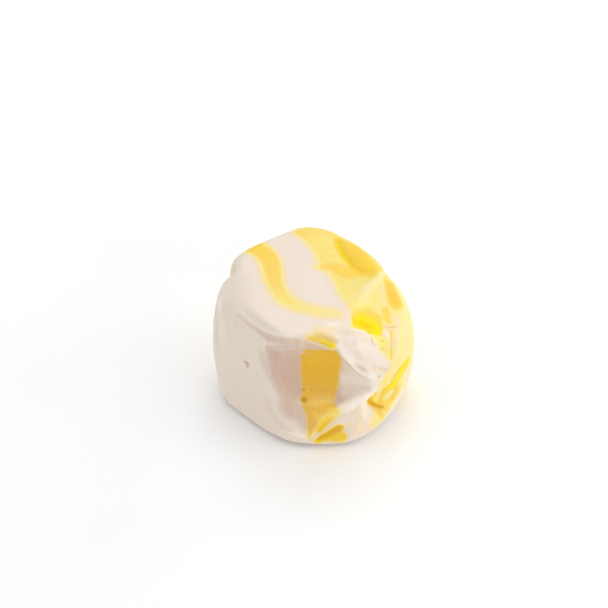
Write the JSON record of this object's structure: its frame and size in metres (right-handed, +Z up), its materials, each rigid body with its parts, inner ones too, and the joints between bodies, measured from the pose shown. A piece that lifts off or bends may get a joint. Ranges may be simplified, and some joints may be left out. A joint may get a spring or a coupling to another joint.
{
  "type": "salt water taffy",
  "caption": "Unwrapped piece of marbled pulled candy: a short log standing on its cut end, pinched into pleats where its wrapper was twisted",
  "frame": {"origin": "middle of the lower cut end, on the surface that the sweet stands on", "axes": "+Z up along the log, -Y to the front, +X to the right with the wrapper's pinch at the front right"},
  "size_m": [0.0236, 0.0218, 0.0164],
  "materials": {
    "taffy": "soft satin candy, cream marbled with yellow"
  },
  "bodies": {
    "root": {"taffy": "taffy"}
  },
  "joints": []
}
